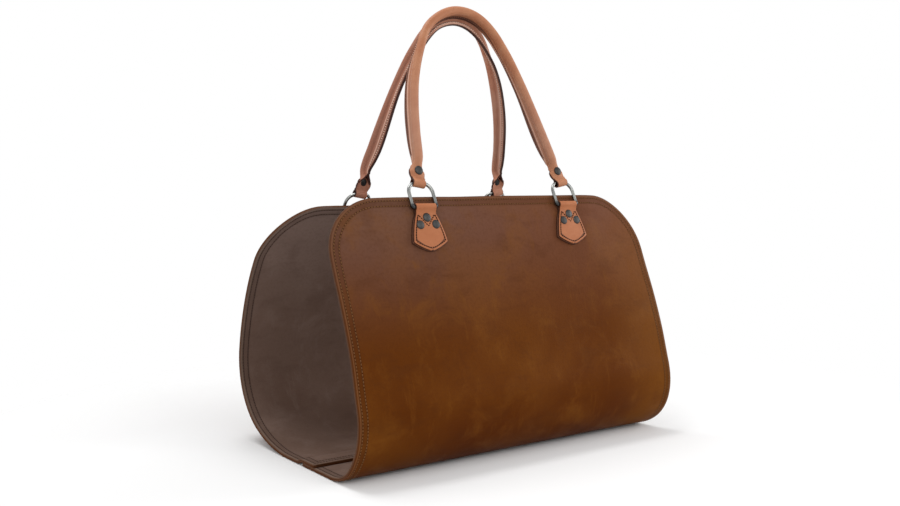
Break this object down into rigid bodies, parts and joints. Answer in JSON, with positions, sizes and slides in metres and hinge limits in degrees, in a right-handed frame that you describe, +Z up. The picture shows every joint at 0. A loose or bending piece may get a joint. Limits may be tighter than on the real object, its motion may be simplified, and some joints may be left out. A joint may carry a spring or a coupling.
{
  "type": "leather log carrier",
  "caption": "Leather log carrier: lined sheets lapped at the base form an open-ended sling for firewood, with riveted tabs, D-rings and rolled handles.",
  "frame": {"origin": "on the ground under the middle of the carrier", "axes": "+X along the logs, towards the right end seen from the front; -Y is the front sheet; +Z up"},
  "size_m": [0.524, 0.3423, 0.6067],
  "materials": {
    "sheet_leather": "matt",
    "lining_leather": "matt",
    "tan_leather": "satin",
    "cord": "matt",
    "nickel": "polished",
    "gunmetal": "satin"
  },
  "bodies": {
    "sheets": {"front_panel_shell": "sheet_leather", "front_panel_lining": "lining_leather", "back_panel_shell": "sheet_leather", "back_panel_lining": "lining_leather", "front_left_tab": "tan_leather", "front_right_tab": "tan_leather", "back_left_tab": "tan_leather", "back_right_tab": "tan_leather", "front_tab_rivet_caps": "gunmetal", "front_tab_rivet_backs": "gunmetal", "back_tab_rivet_caps": "gunmetal", "back_tab_rivet_backs": "gunmetal"},
    "front_rings": {"front_rings": "nickel"},
    "back_rings": {"back_rings": "nickel"},
    "front_handle": {"front_handle_cover": "tan_leather", "front_handle_core": "cord", "front_handle_rivet_caps": "gunmetal", "front_handle_rivet_backs": "gunmetal"},
    "back_handle": {"back_handle_cover": "tan_leather", "back_handle_core": "cord", "back_handle_rivet_caps": "gunmetal", "back_handle_rivet_backs": "gunmetal"}
  },
  "joints": [
    {"name": "front_rings_swing", "type": "hinge", "parent": "sheets", "child": "front_rings", "pos_m": [0, -0.09609, 0.33349], "axis": [1, 0, 0], "range_deg": [0, 120]},
    {"name": "front_handle_swing", "type": "hinge", "parent": "front_rings", "child": "front_handle", "pos_m": [0, -0.08179, 0.36312], "axis": [1, 0, 0], "range_deg": [0, 60]},
    {"name": "back_rings_swing", "type": "hinge", "parent": "sheets", "child": "back_rings", "pos_m": [0, 0.08643, 0.32211], "axis": [-1, 0, 0], "range_deg": [0, 120]},
    {"name": "back_handle_swing", "type": "hinge", "parent": "back_rings", "child": "back_handle", "pos_m": [0, 0.06553, 0.3475], "axis": [-1, 0, 0], "range_deg": [0, 52]}
  ]
}
